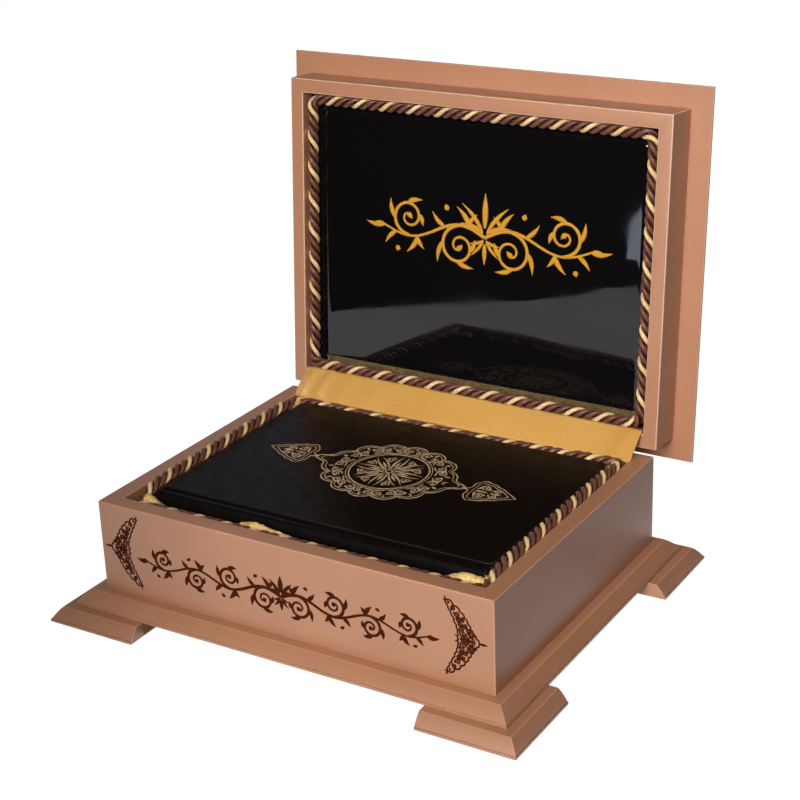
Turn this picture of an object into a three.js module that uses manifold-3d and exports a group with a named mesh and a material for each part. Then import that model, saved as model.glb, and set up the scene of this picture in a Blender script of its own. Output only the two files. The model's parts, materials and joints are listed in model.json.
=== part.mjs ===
// A presentation box for a large book, standing open with the book in it.
// Millimetres, +Z up, the front towards -Y. The lid is drawn closed and then swung open.

import * as THREE from 'three';
import { mergeVertices } from 'three/addons/utils/BufferGeometryUtils.js';
import Module from 'manifold-3d';

const wasm = await Module();
wasm.setup();

// The book that the box is made for
const bookLength = 244;
const bookDepth = 169;
const bookThickness = 34.5;
const coverThickness = 3;
const coverCorner = 6;
const jointWidth = 7;
const spineBulge = 4.5;
const spineThickness = 1.6;
const pageMargin = 3.5;
const headbandRadius = 1.1;

// Box body, with its room round the book
const bookEndGap = 11;
const bookBackGap = 9;
const bookFrontGap = 22;
const wallHeight = 62.8;
const wallThickness = 12;

// Routed boards and feet
const baseThickness = 9.4;
const lidBoardThickness = 9.4;
const boardOverhang = 14.8;
const boardLedge = 6.4;
const footHeight = 9.8;
const footOverhang = 27.4;
const footLedge = 20.7;
const footLength = 67.4;
const filletHeight = 2.0;
const filletStep = 0.6;
const mouldingBulge = 1.1;
const mouldingSteps = 6;

// Lid
const lidGap = 0.4;
const railThickness = 10;
const railHeight = 28.6;
const leanBack = 4.3;
const lidJoint = 0.1;

// Trim cord and soft fillings
const cordRadius = 4.2;
const cordCorner = 7;
const boxCordDepth = 2.2;
const lidCordDepth = 6.2;
const fit = 0.3;
const bedHeight = 26.4;
const liningHeight = 27;
const liningClearance = 1.4;
const panelThickness = 4;
const filmThickness = 0.8;
const filmShoulder = 2.6;
const filmInset = 9.4;
const filmCrown = 2.6;
const stayThickness = 0.5;

// Hinges
const hingeInset = 60;
const hingeWidth = 38;
const leafHeight = 18;
const leafThickness = 1.2;
const barrelRadius = 2.4;
const axisOffset = 2.7;
const leafSeat = 0.1;
const knuckleCount = 5;
const knuckleGap = 0.4;
const pinRadius = 1.0;
const pinClearance = 0.12;
const pinOverhang = 0.6;
const screwSpacing = 24;
const screwHeadRadius = 2.3;
const screwShankRadius = 1.1;
const screwLength = 8;
const screwClearance = 0.12;
const screwHeight = 11;

// Places worked out from the sizes above
const halfWidth = bookLength / 2 + bookEndGap + wallThickness;
const halfDepth = (bookFrontGap + bookDepth + bookBackGap) / 2 + wallThickness;
const boardTop = footHeight + baseThickness;
const rim = boardTop + wallHeight;
const innerX = halfWidth - wallThickness;
const innerY = halfDepth - wallThickness;
const lidRim = rim + lidGap;
const lidInnerX = halfWidth - railThickness;
const lidInnerY = halfDepth - railThickness;
const lidBoardBottom = lidRim + railHeight;
const hingeY = halfDepth + axisOffset;
const hingeZ = rim + lidGap / 2;
const openAngle = THREE.MathUtils.degToRad(90 + leanBack);
const bedTop = boardTop + fit + bedHeight;
const bookBottom = bedTop + fit;
const bookTop = bookBottom + bookThickness;
const bookBack = innerY - bookBackGap;
const bookFront = bookBack - bookDepth;
const jointDepth = coverThickness - spineThickness;

// Materials
function finish(color, roughness, metalness = 0) {
  return new THREE.MeshStandardMaterial({ color, roughness, metalness });
}
const paint = finish('#b98a69', 0.42, 0.35);
const cord = finish('#9a6a3c', 0.6);
const satin = finish('#c9963f', 0.35);
const foam = finish('#e6e2d8', 0.95);
const velvet = finish('#0a090b', 0.9);
const film = finish('#101014', 0.05);
const leather = finish('#141010', 0.45);
const paper = finish('#eee2c4', 0.85);
const brass = finish('#b08d4a', 0.35, 1);
const thread = finish('#c8a24a', 0.6);

const box = new THREE.Group();
const lid = new THREE.Group();
const lidClosed = new THREE.Group();
box.add(lid);
lid.add(lidClosed);
lid.position.set(0, hingeY, hingeZ);
lid.rotation.x = -openAngle;
lidClosed.position.set(0, -hingeY, -hingeZ);

function place(group, name, geometry, material, x = 0, y = 0, z = 0) {
  const mesh = new THREE.Mesh(geometry, material.clone());
  mesh.name = name;
  mesh.position.set(x, y, z);
  group.add(mesh);
}

// Solids made by joining rings of points, closed at both ends
function signedVolume(points, faces) {
  let sum = 0;
  const corner = faces.map((index) => points[index]);
  for (let i = 0; i < corner.length; i += 3) {
    sum += corner[i].dot(new THREE.Vector3().crossVectors(corner[i + 1], corner[i + 2]));
  }
  return sum / 6;
}

function loft(rings) {
  const count = rings[0].length;
  const points = rings.flat();
  const faces = [];
  for (let ring = 0; ring + 1 < rings.length; ring++) {
    for (let i = 0; i < count; i++) {
      const next = (i + 1) % count;
      const a = ring * count + i;
      const b = ring * count + next;
      faces.push(a, b, b + count, a, b + count, a + count);
    }
  }
  const last = (rings.length - 1) * count;
  for (let i = 1; i + 1 < count; i++) {
    faces.push(0, i + 1, i, last, last + i, last + i + 1);
  }
  if (signedVolume(points, faces) < 0) faces.reverse();
  const geometry = new THREE.BufferGeometry().setFromPoints(points);
  geometry.setIndex(faces);
  return geometry;
}

function rectangle(left, right, front, back, z) {
  const corners = [[left, front], [right, front], [right, back], [left, back]];
  return corners.map(([x, y]) => new THREE.Vector3(x, y, z));
}

function roundedOutline(halfX, halfY, radius, shape = new THREE.Shape()) {
  shape.moveTo(halfX, -halfY + radius);
  shape.lineTo(halfX, halfY - radius);
  shape.absarc(halfX - radius, halfY - radius, radius, 0, Math.PI / 2);
  shape.lineTo(-halfX + radius, halfY);
  shape.absarc(-halfX + radius, halfY - radius, radius, Math.PI / 2, Math.PI);
  shape.lineTo(-halfX, -halfY + radius);
  shape.absarc(-halfX + radius, -halfY + radius, radius, Math.PI, 1.5 * Math.PI);
  shape.lineTo(halfX - radius, -halfY);
  shape.absarc(halfX - radius, -halfY + radius, radius, 1.5 * Math.PI, 2 * Math.PI);
  return shape;
}

function roundedRing(halfX, halfY, radius, z) {
  const points = [];
  const steps = 5;
  for (let quarter = 0; quarter < 4; quarter++) {
    const signX = quarter === 0 || quarter === 3 ? 1 : -1;
    const signY = quarter < 2 ? 1 : -1;
    for (let step = 0; step <= steps; step++) {
      const angle = (quarter + step / steps) * Math.PI / 2;
      const x = signX * (halfX - radius) + radius * Math.cos(angle);
      const y = signY * (halfY - radius) + radius * Math.sin(angle);
      points.push(new THREE.Vector3(x, y, z));
    }
  }
  return points;
}

function extrude(shape, depth, options = {}) {
  return new THREE.ExtrudeGeometry(shape, { depth, bevelEnabled: false, curveSegments: 5, ...options });
}

function outline(points) {
  return new THREE.Shape(points.map(([x, y]) => new THREE.Vector2(x, y)));
}

// A section drawn in Y and Z, run along X and centred on it
function extrudeAlongX(shape, length) {
  const turn = new THREE.Matrix4().makeBasis(
    new THREE.Vector3(0, 1, 0), new THREE.Vector3(0, 0, 1), new THREE.Vector3(1, 0, 0));
  return extrude(shape, length).translate(0, 0, -length / 2).applyMatrix4(turn);
}

// Joining and cutting
function toSolid(geometry) {
  const plain = geometry.clone();
  plain.deleteAttribute('normal');
  plain.deleteAttribute('uv');
  const merged = mergeVertices(plain, 1e-5);
  const vertProperties = merged.attributes.position.array;
  const triVerts = new Uint32Array(merged.index.array);
  return new wasm.Manifold(new wasm.Mesh({ numProp: 3, vertProperties, triVerts }));
}

function toGeometry(solid) {
  const mesh = solid.getMesh();
  const geometry = new THREE.BufferGeometry();
  geometry.setAttribute('position', new THREE.BufferAttribute(mesh.vertProperties, 3));
  geometry.setIndex(new THREE.BufferAttribute(mesh.triVerts, 1));
  return geometry;
}

// The routed edge: a fillet, a small step and a bulging slope up to the ledge
function mouldingProfile(outside, ledge, height) {
  const start = new THREE.Vector2(outside - filletStep, filletHeight);
  const end = new THREE.Vector2(ledge, height);
  const along = end.clone().sub(start);
  const across = new THREE.Vector2(along.y, -along.x).normalize();
  const profile = [new THREE.Vector2(outside, 0), new THREE.Vector2(outside, filletHeight)];
  for (let step = 0; step <= mouldingSteps; step++) {
    const t = step / mouldingSteps;
    const bulge = 4 * mouldingBulge * t * (1 - t);
    profile.push(start.clone().addScaledVector(along, t).addScaledVector(across, bulge));
  }
  return profile;
}

function routedBoard(thickness) {
  const rings = mouldingProfile(boardOverhang, boardLedge, thickness).map(({ x: out, y: z }) =>
    rectangle(-halfWidth - out, halfWidth + out, -halfDepth - out, halfDepth + out, z));
  return loft(rings);
}

// A foot is routed on its two outer sides and sawn square on the inner ones
function foot(signX, signY) {
  const innerEdgeX = signX * (halfWidth + footOverhang - footLength);
  const innerEdgeY = signY * (halfDepth + footOverhang - footLength);
  const rings = mouldingProfile(footOverhang, footLedge, footHeight).map(({ x: out, y: z }) =>
    rectangle(innerEdgeX, signX * (halfWidth + out), innerEdgeY, signY * (halfDepth + out), z));
  return loft(rings);
}

// Four mitred boards round a rectangle, each less half a joint at its ends
function mitredFrame(thickness, height, joint) {
  const inX = halfWidth - thickness;
  const inY = halfDepth - thickness;
  const x = (value) => value - joint / 2;
  const long = [[-x(halfWidth), -halfDepth], [x(halfWidth), -halfDepth], [x(inX), -inY], [-x(inX), -inY]];
  const short = [[halfWidth, -x(halfDepth)], [halfWidth, x(halfDepth)], [inX, x(inY)], [inX, -x(inY)]];
  return {
    front: extrude(outline(long), height),
    back: extrude(outline(long), height).rotateZ(Math.PI),
    right: extrude(outline(short), height),
    left: extrude(outline(short), height).rotateZ(Math.PI),
  };
}

// Trim cord glued round the inside of a frame, as a round tube
function cordRing(inX, inY) {
  const core = 0.2;
  const offset = cordRadius + fit;
  const round = cordRadius - core;
  const around = (grow, shape) =>
    roundedOutline(inX - offset + grow, inY - offset + grow, cordCorner + grow, shape);
  const ring = around(core);
  ring.holes.push(around(-core, new THREE.Path()));
  const bevel = { bevelEnabled: true, bevelSize: round, bevelThickness: round, bevelSegments: 3 };
  return extrude(ring, 2 * core, bevel).translate(0, 0, -core);
}

// Screws point along -Y, with the head's face at y = 0
function screw() {
  const neck = leafThickness;
  const tip = leafThickness + screwLength;
  const profile = [
    [0, -tip], [screwShankRadius, -tip + screwShankRadius * 1.5], [screwShankRadius, -neck],
    [screwHeadRadius, 0], [0, 0],
  ];
  return new THREE.LatheGeometry(profile.map(([r, y]) => new THREE.Vector2(r, y)), 16);
}

function screwHole() {
  const shank = screwShankRadius + screwClearance;
  const head = screwHeadRadius + screwClearance;
  const proud = 0.5;
  const bottom = leafThickness + screwLength + fit;
  const slope = (head - shank) / leafThickness;
  const profile = [
    [0, -bottom], [shank, -bottom], [shank, -leafThickness],
    [head + slope * proud, proud], [0, proud],
  ];
  return new THREE.LatheGeometry(profile.map(([r, y]) => new THREE.Vector2(r, y)), 16);
}

const screwX = [-screwSpacing / 2, screwSpacing / 2];
const hingeX = { left: hingeInset - halfWidth, right: halfWidth - hingeInset };
const leafFace = leafSeat + leafThickness - axisOffset;

function cutPilotHoles(geometry, side) {
  let solid = toSolid(geometry);
  for (const centre of Object.values(hingeX)) {
    for (const x of screwX) {
      const y = hingeY + leafFace;
      const hole = screwHole().translate(centre + x, y, hingeZ + side * screwHeight);
      solid = solid.subtract(toSolid(hole));
    }
  }
  return toGeometry(solid);
}

// One leaf of a butt hinge about its own pin axis: side is -1 below the axis and 1 above it
function hingeLeaf(side) {
  const knuckleLength = (hingeWidth - (knuckleCount - 1) * knuckleGap) / knuckleCount;
  const pitch = knuckleLength + knuckleGap;
  const firstKnuckle = side < 0 ? 0 : 1;
  const plateY = leafFace - leafThickness / 2;
  const plateStart = barrelRadius + knuckleGap;
  const plateHeight = leafHeight - plateStart;
  const tabHeight = plateStart + leafThickness / 2;
  const plate = new THREE.BoxGeometry(hingeWidth, leafThickness, plateHeight);
  let solid = toSolid(plate.translate(0, plateY, side * (plateStart + plateHeight / 2)));
  for (let knuckle = firstKnuckle; knuckle < knuckleCount; knuckle += 2) {
    const x = -hingeWidth / 2 + knuckleLength / 2 + knuckle * pitch;
    const barrel = new THREE.CylinderGeometry(barrelRadius, barrelRadius, knuckleLength, 24);
    const tab = new THREE.BoxGeometry(knuckleLength, leafThickness, tabHeight);
    solid = solid.add(toSolid(barrel.rotateZ(Math.PI / 2).translate(x, 0, 0)));
    solid = solid.add(toSolid(tab.translate(x, plateY, side * tabHeight / 2)));
  }
  const boreRadius = pinRadius + pinClearance;
  const bore = new THREE.CylinderGeometry(boreRadius, boreRadius, 2 * hingeWidth, 24);
  solid = solid.subtract(toSolid(bore.rotateZ(Math.PI / 2)));
  for (const x of screwX) {
    solid = solid.subtract(toSolid(screwHole().translate(x, leafFace, side * screwHeight)));
  }
  return toGeometry(solid);
}

// Walls, base board and feet
const walls = mitredFrame(wallThickness, wallHeight, 0);
place(box, 'front_wall', walls.front, paint, 0, 0, boardTop);
place(box, 'left_wall', walls.left, paint, 0, 0, boardTop);
place(box, 'right_wall', walls.right, paint, 0, 0, boardTop);
place(box, 'back_wall', cutPilotHoles(walls.back.translate(0, 0, boardTop), -1), paint);
place(box, 'base_board', routedBoard(baseThickness), paint, 0, 0, footHeight);
const corners = { front_left: [-1, -1], front_right: [1, -1], back_left: [-1, 1], back_right: [1, 1] };
for (const [corner, [signX, signY]] of Object.entries(corners)) {
  place(box, `foot_${corner}`, foot(signX, signY), paint);
}

// Foam bed, satin lining with a recess for the book, and trim cord
const softX = innerX - fit;
const softY = innerY - fit;
const bed = outline([[-softX, -softY], [softX, -softY], [softX, softY], [-softX, softY]]);
place(box, 'foam_bed', extrude(bed, bedHeight), foam, 0, 0, boardTop + fit);
const lining = bed.clone();
const recessX = bookLength / 2 + liningClearance;
const recessFront = bookFront - spineBulge - liningClearance;
const recessBack = bookBack + liningClearance;
const recess = [
  [-recessX, recessFront], [-recessX, recessBack], [recessX, recessBack], [recessX, recessFront],
];
lining.holes.push(new THREE.Path(recess.map(([x, y]) => new THREE.Vector2(x, y))));
place(box, 'satin_lining', extrude(lining, liningHeight), satin, 0, 0, bedTop + fit);
place(box, 'box_rope', cordRing(innerX, innerY), cord, 0, 0, rim - boxCordDepth);

// The book lies with its spine to the front
const boardFront = bookFront + jointWidth;
const coverDepth = bookBack - boardFront;
const coverY = (bookBack + boardFront) / 2;
const cover = extrude(roundedOutline(bookLength / 2, coverDepth / 2, coverCorner), coverThickness);
place(box, 'book_back_cover', cover, leather, 0, coverY, bookBottom);
place(box, 'book_front_cover', cover.clone(), leather, 0, coverY, bookTop - coverThickness);

function spineCurve(inset) {
  const half = bookThickness / 2 - inset;
  const points = [];
  const steps = 10;
  points.push([boardFront - fit, half - fit], [boardFront - jointWidth / 2, half - jointDepth]);
  for (let step = 0; step <= steps; step++) {
    const angle = Math.PI * (0.5 - step / steps);
    points.push([bookFront - (spineBulge - inset) * Math.cos(angle), half * Math.sin(angle)]);
  }
  points.push([boardFront - jointWidth / 2, jointDepth - half], [boardFront - fit, fit - half]);
  return points;
}
const spineSection = outline([...spineCurve(0), ...spineCurve(spineThickness).reverse()]);
place(box, 'book_spine', extrudeAlongX(spineSection, bookLength), leather, 0, 0, (bookBottom + bookTop) / 2);

// Page block with a rounded back and a hollow fore edge
const pageHalf = bookThickness / 2 - coverThickness - fit;
const pageBack = bookBack - pageMargin;
const pageFront = bookFront + coverThickness;
const pages = new THREE.Shape();
pages.moveTo(pageFront, -pageHalf);
pages.lineTo(pageBack, -pageHalf);
pages.quadraticCurveTo(pageBack - spineBulge, 0, pageBack, pageHalf);
pages.lineTo(pageFront, pageHalf);
pages.quadraticCurveTo(pageFront - spineBulge, 0, pageFront, -pageHalf);
const pageLength = bookLength - 2 * pageMargin;
place(box, 'book_pages', extrudeAlongX(pages, pageLength), paper, 0, 0, (bookBottom + bookTop) / 2);
const headbandLength = 2 * (pageHalf - pageMargin);
const headband = new THREE.CylinderGeometry(headbandRadius, headbandRadius, headbandLength, 10);
headband.rotateX(Math.PI / 2).translate(0, pageFront + spineBulge, (bookBottom + bookTop) / 2);
const headbandX = pageLength / 2 + headbandRadius + fit;
place(box, 'book_left_headband', headband, thread, -headbandX);
place(box, 'book_right_headband', headband.clone(), thread, headbandX);

// Lower leaves, pins and screws
const pinLength = hingeWidth + 2 * pinOverhang;
for (const [side, x] of Object.entries(hingeX)) {
  const pin = new THREE.CylinderGeometry(pinRadius, pinRadius, pinLength, 24).rotateZ(Math.PI / 2);
  place(box, `${side}_lower_leaf`, hingeLeaf(-1), brass, x, hingeY, hingeZ);
  place(box, `${side}_hinge_pin`, pin, brass, x, hingeY, hingeZ);
  place(lidClosed, `${side}_upper_leaf`, hingeLeaf(1), brass, x, hingeY, hingeZ);
  screwX.forEach((offset, index) => {
    const y = hingeY + leafFace;
    place(box, `${side}_lower_screw_${index + 1}`, screw(), brass, x + offset, y, hingeZ - screwHeight);
    place(lidClosed, `${side}_upper_screw_${index + 1}`, screw(), brass, x + offset, y, hingeZ + screwHeight);
  });
}

// Lid frame and board
const rails = mitredFrame(railThickness, railHeight - lidJoint, lidJoint);
place(lidClosed, 'lid_front_rail', rails.front, paint, 0, 0, lidRim);
place(lidClosed, 'lid_left_rail', rails.left, paint, 0, 0, lidRim);
place(lidClosed, 'lid_right_rail', rails.right, paint, 0, 0, lidRim);
place(lidClosed, 'lid_back_rail', cutPilotHoles(rails.back.translate(0, 0, lidRim), 1), paint);
place(lidClosed, 'lid_board', routedBoard(lidBoardThickness), paint, 0, 0, lidBoardBottom);

// Clear film over velvet over foam, seen from below when the lid is closed
const padX = lidInnerX - fit;
const padY = lidInnerY - fit;
const filmBack = lidRim + lidCordDepth + cordRadius + fit + filmThickness;
const faceX = padX - filmInset;
const faceY = padY - filmInset;
const faceCorner = 5;
const padCorner = 1;

// Rings from the middle of a crowned face out to its edge, the crown pointing to -Z
function crownRings(halfX, halfY, z, crown, inset) {
  const rings = [];
  for (const share of [0.02, 0.25, 0.5, 0.75, 1]) {
    const level = z - crown * (1 - share ** 2);
    rings.push(roundedRing((halfX - inset) * share, (halfY - inset) * share, faceCorner * share, level));
  }
  return rings;
}

// The formed film rolls from its face out to the flange, in shares of the shoulder's height
const shoulderRoll = [[0.35, 0.6], [0.5, 0]];

function clearCover() {
  const edge = filmBack - filmThickness;
  const outer = crownRings(faceX, faceY, edge - filmShoulder, filmCrown, 0);
  const inner = crownRings(faceX, faceY, filmBack - filmShoulder, filmCrown, filmThickness);
  const shoulder = shoulderRoll.map(([out, rise]) => roundedRing(
    faceX + filmShoulder * out, faceY + filmShoulder * out, faceCorner, edge - filmShoulder * rise));
  shoulder.push(
    roundedRing(padX, padY, padCorner, edge),
    roundedRing(padX, padY, padCorner, filmBack),
    roundedRing(faceX - filmThickness, faceY - filmThickness, faceCorner, filmBack),
  );
  return loft([...outer, ...shoulder, ...inner.reverse()]);
}

function velvetPanel() {
  const front = filmBack + fit;
  const inset = filmThickness + fit;
  const face = crownRings(faceX, faceY, front - filmShoulder, filmCrown, inset);
  const edge = [
    roundedRing(faceX - inset, faceY - inset, faceCorner, front),
    roundedRing(padX, padY, padCorner, front),
    roundedRing(padX, padY, padCorner, front + panelThickness),
  ];
  return loft([...face, ...edge]);
}
place(lidClosed, 'clear_cover', clearCover(), film);
place(lidClosed, 'velvet_panel', velvetPanel(), velvet);
const foamBottom = filmBack + panelThickness + 2 * fit;
place(lidClosed, 'foam_block', extrude(outline([
  [-padX, -padY], [padX, -padY], [padX, padY], [-padX, padY]]),
  lidBoardBottom - fit - foamBottom), foam, 0, 0, foamBottom);
place(lidClosed, 'lid_rope', cordRing(lidInnerX, lidInnerY), cord, 0, 0, lidRim + lidCordDepth);

// The satin stay runs taut from the back wall's inner edge to the open lid's back rail
box.updateMatrixWorld(true);
const railEdge = lidClosed.localToWorld(new THREE.Vector3(0, lidInnerY, lidRim));
const wallEdge = new THREE.Vector3(0, innerY, rim);
const run = railEdge.clone().sub(wallEdge).setX(0).normalize();
const lift = new THREE.Vector3(0, -run.z, run.y);
const stayCorners = [
  wallEdge.clone().addScaledVector(lift, fit),
  railEdge.clone().addScaledVector(lift, fit),
  railEdge.clone().addScaledVector(lift, fit + stayThickness),
  wallEdge.clone().addScaledVector(lift, fit + stayThickness),
];
const staySection = outline(stayCorners.map(({ y, z }) => [y, z]));
place(box, 'satin_stay', extrudeAlongX(staySection, 2 * innerX - 2 * fit), satin);

// The origin is on the floor, under the middle of the open box
const bounds = new THREE.Box3().setFromObject(box, true);
box.position.y = -(bounds.min.y + bounds.max.y) / 2;

export default box;
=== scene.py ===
# A presentation box for a large book, standing open with the book in it.
# Metres, +Z up, the front towards -Y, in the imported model's own frame.
import json
from math import atan2, cos, degrees, exp, hypot, pi, radians, sin, sqrt

import bmesh
import bpy
from mathutils import Matrix, Vector, noise


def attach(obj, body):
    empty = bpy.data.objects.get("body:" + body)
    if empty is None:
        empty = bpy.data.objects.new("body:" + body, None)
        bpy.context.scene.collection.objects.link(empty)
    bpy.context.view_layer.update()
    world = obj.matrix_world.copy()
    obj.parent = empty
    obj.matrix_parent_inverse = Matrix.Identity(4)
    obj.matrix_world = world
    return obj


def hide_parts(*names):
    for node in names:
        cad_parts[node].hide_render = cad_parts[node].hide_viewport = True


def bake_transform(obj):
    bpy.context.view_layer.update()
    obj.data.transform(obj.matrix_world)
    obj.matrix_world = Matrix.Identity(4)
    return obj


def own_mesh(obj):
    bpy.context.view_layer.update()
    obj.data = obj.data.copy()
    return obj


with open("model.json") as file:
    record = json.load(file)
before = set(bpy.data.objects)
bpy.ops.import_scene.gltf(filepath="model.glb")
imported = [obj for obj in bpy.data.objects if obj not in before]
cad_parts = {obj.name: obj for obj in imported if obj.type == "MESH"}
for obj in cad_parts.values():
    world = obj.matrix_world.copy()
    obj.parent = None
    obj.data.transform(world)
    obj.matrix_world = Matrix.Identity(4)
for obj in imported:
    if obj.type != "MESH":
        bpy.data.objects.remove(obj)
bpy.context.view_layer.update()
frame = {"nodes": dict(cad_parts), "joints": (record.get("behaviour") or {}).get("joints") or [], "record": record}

MM = 0.001

# The lid is drawn closed and swung open about its hinge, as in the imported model
hinge = frame["joints"][0]
hinge_axis = Vector(hinge["pos_m"])
open_angle = radians(hinge["range_deg"][1])
OPEN = (Matrix.Translation(hinge_axis) @ Matrix.Rotation(-open_angle, 4, "X")
        @ Matrix.Translation(-hinge_axis))
STAY_PUT = Matrix.Identity(4)


def extent(node, back=STAY_PUT):
    """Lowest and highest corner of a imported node, after the turn back."""
    points = [back @ vert.co for vert in frame["nodes"][node].data.vertices]
    return (Vector(min(p[i] for p in points) for i in range(3)),
            Vector(max(p[i] for p in points) for i in range(3)))


def closed_extent(node):
    return extent(node, OPEN.inverted())


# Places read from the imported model
front_lo, front_hi = extent("front_wall")
back_hi = extent("back_wall")[1]
left_lo = extent("left_wall")[0]
WALL = front_hi.y - front_lo.y
BODY_LO = Vector((left_lo.x, front_lo.y, front_lo.z))
BODY_HI = Vector((-left_lo.x, back_hi.y, front_hi.z))
RIM = front_hi.z
INNER_X = BODY_HI.x - WALL
INNER_Y = (BODY_HI.y - BODY_LO.y) / 2 - WALL
MIDDLE_Y = (BODY_HI.y + BODY_LO.y) / 2
rail_lo, rail_hi = closed_extent("lid_front_rail")
RAIL = rail_hi.y - rail_lo.y
LID_LO = Vector((BODY_LO.x, BODY_LO.y, rail_lo.z))
LID_HI = Vector((BODY_HI.x, BODY_HI.y, rail_hi.z))
LID_INNER_X = LID_HI.x - RAIL
LID_INNER_Y = (LID_HI.y - LID_LO.y) / 2 - RAIL

# Materials
def linear(colour):
    """A colour written as sRGB hex, in linear light."""
    channels = [int(colour[i:i + 2], 16) / 255 for i in (1, 3, 5)]
    return [c / 12.92 if c <= 0.04045 else ((c + 0.055) / 1.055) ** 2.4 for c in channels] + [1]


WAVE = 3.2 / (2 * pi)  # a wave texture's bands repeat more often than its scale says


def per(size):
    """The scale at which a pattern repeats once in a size in millimetres."""
    return 1 / (size * MM)


def add(tree, kind, inputs=(), out=0, **settings):
    """Adds a node with its settings, gives its inputs their values or sources, and returns an output."""
    node = tree.nodes.new("ShaderNode" + kind)
    for name, value in settings.items():
        setattr(node, name, value)
    for socket, value in dict(inputs).items():
        if isinstance(value, bpy.types.NodeSocket):
            tree.links.new(value, node.inputs[socket])
        else:
            node.inputs[socket].default_value = value
    return node.outputs[out]


def plain(name, colour, **sockets):
    """A material with its constant values on the shader's own sockets."""
    material = bpy.data.materials.new(name)
    material.use_nodes = True
    surface = material.node_tree.nodes["Principled BSDF"]
    surface.inputs["Base Color"].default_value = linear(colour)
    for socket, value in sockets.items():
        surface.inputs[socket.replace("_", " ")].default_value = value
    return material, material.node_tree, surface


def start(name, colour, **sockets):
    """A plain material and the object's own coordinates, for the patterns on it."""
    material, tree, surface = plain(name, colour, **sockets)
    return material, tree, surface, add(tree, "TexCoord", out="Object")


def feed(tree, surface, **sources):
    for socket, source in sources.items():
        tree.links.new(source, surface.inputs[socket.replace("_", " ")])


def two_tones(tree, surface, share, dark, light, height, strength, depth):
    """Gives a surface two colours, mixed by a share, and relief from a height."""
    colour = add(tree, "Mix", {0: share, 6: linear(dark), 7: linear(light)}, out=2, data_type="RGBA")
    bump = add(tree, "Bump", {"Height": height, "Strength": strength, "Distance": depth * MM})
    feed(tree, surface, Base_Color=colour, Normal=bump)


def painted_arris_highlight(tree, colour, strength, highlight_colour):
    """A colour painted paler along the arrises, a painted highlight there."""
    arris = add(tree, "Attribute", out="Fac", attribute_name="arris")
    wear_and_highlight = add(tree, "Math", {0: arris, 1: strength}, operation="MULTIPLY")
    return add(tree, "Mix", {0: wear_and_highlight, 6: colour, 7: linear(highlight_colour)}, out=2, data_type="RGBA")


def copper_lacquer():
    # Metallic lacquer sprayed on MDF: satin, a fine flake, faint orange peel and a painted highlight along the
    # arrises.
    material, tree, surface, place = start("sprayed_copper_lacquer", "#B98160", Metallic=0.08, Roughness=0.44,
                                           Specular_IOR_Level=0.8, Coat_Weight=0.3, Coat_Roughness=0.35)
    flake = add(tree, "TexNoise", {"Vector": place, "Scale": per(0.7), "Detail": 2})
    cloud = add(tree, "TexNoise", {"Vector": place, "Scale": per(45), "Detail": 3})
    blend = add(tree, "Math", {0: cloud, 1: 0.35, 2: flake}, operation="MULTIPLY_ADD")
    share = add(tree, "MapRange", {0: blend, 1: 0.42, 2: 0.95})
    colour = add(tree, "Mix", {0: share, 6: linear("#A57150"), 7: linear("#B98160")}, out=2, data_type="RGBA")
    # Painted highlight: the arris faces are painted paler
    arris_highlighted = painted_arris_highlight(tree, colour, 0.6, "#EBC4A4")
    peel = add(tree, "TexNoise", {"Vector": place, "Scale": per(2.4), "Detail": 1})
    height = add(tree, "Math", {0: flake, 1: 0.4, 2: peel}, operation="MULTIPLY_ADD")
    bump = add(tree, "Bump", {"Height": height, "Strength": 0.35, "Distance": 0.00005})
    rough = add(tree, "MapRange", {0: flake, 1: 0.3, 2: 0.7, 3: 0.38, 4: 0.50})
    feed(tree, surface, Base_Color=arris_highlighted, Normal=bump, Roughness=rough)
    return material


def rayon_cord(name, groove, dark, light):
    # Spun rayon: fine shiny filaments round each strand, drawn coarse enough to show, with painted shade between the
    # filament lines and painted shade deep in the grooves.
    material, tree, surface, place = start(name, light, Roughness=0.42, Sheen_Weight=0.1, Sheen_Roughness=0.4)
    thread = add(tree, "UVMap", uv_map="UVMap")
    turned = add(tree, "Mapping", {"Vector": thread, "Rotation": (0, 0, radians(24))})
    lines = add(tree, "TexWave", {"Vector": turned, "Scale": per(1.3) * WAVE, "Distortion": 1.0,
                                  "Detail": 2}, out="Fac", bands_direction="Y")
    fleck = add(tree, "TexNoise", {"Vector": place, "Scale": per(1.6), "Detail": 3})
    share = add(tree, "Math", {0: fleck, 1: 0.6, 2: lines}, operation="MULTIPLY_ADD")
    wide = add(tree, "MapRange", {0: share, 1: 0.25, 2: 0.95})
    colour = add(tree, "Mix", {0: wide, 6: linear(dark), 7: linear(light)}, out=2, data_type="RGBA")
    # Painted shade: darker towards the groove in the middle of the cord
    depth = add(tree, "Attribute", out="Fac", attribute_name="depth")
    groove_shaded = add(tree, "Mix", {0: depth, 6: linear(groove), 7: colour}, out=2, data_type="RGBA")
    bump = add(tree, "Bump", {"Height": lines, "Strength": 0.6, "Distance": 0.00018})
    feed(tree, surface, Base_Color=groove_shaded, Normal=bump)
    return material


def woven_satin(name, dark, light, mottle, relief=0.25):
    # Acetate satin: long floats whose bright streaks along the folds are painted into the colour as painted sheen.
    material, tree, surface, place = start(
        name, light, Roughness=0.34, Sheen_Weight=0.25, Sheen_Roughness=0.3, Anisotropic=0.45)
    streak = add(tree, "Mapping", {"Vector": place, "Scale": (1, 1, 0.12)})
    float_sheen_streak = add(tree, "TexNoise", {"Vector": streak, "Scale": per(0.9), "Detail": 3})
    cloud = add(tree, "TexNoise", {"Vector": place, "Scale": per(mottle), "Detail": 2})
    # Painted sheen: the floats' streaks lighten the colour in places
    share = add(tree, "Math", {0: float_sheen_streak, 1: cloud}, operation="ADD")
    wide = add(tree, "MapRange", {0: share, 1: 0.7, 2: 1.3})
    two_tones(tree, surface, wide, dark, light, float_sheen_streak, relief, 0.06)
    return material


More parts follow.
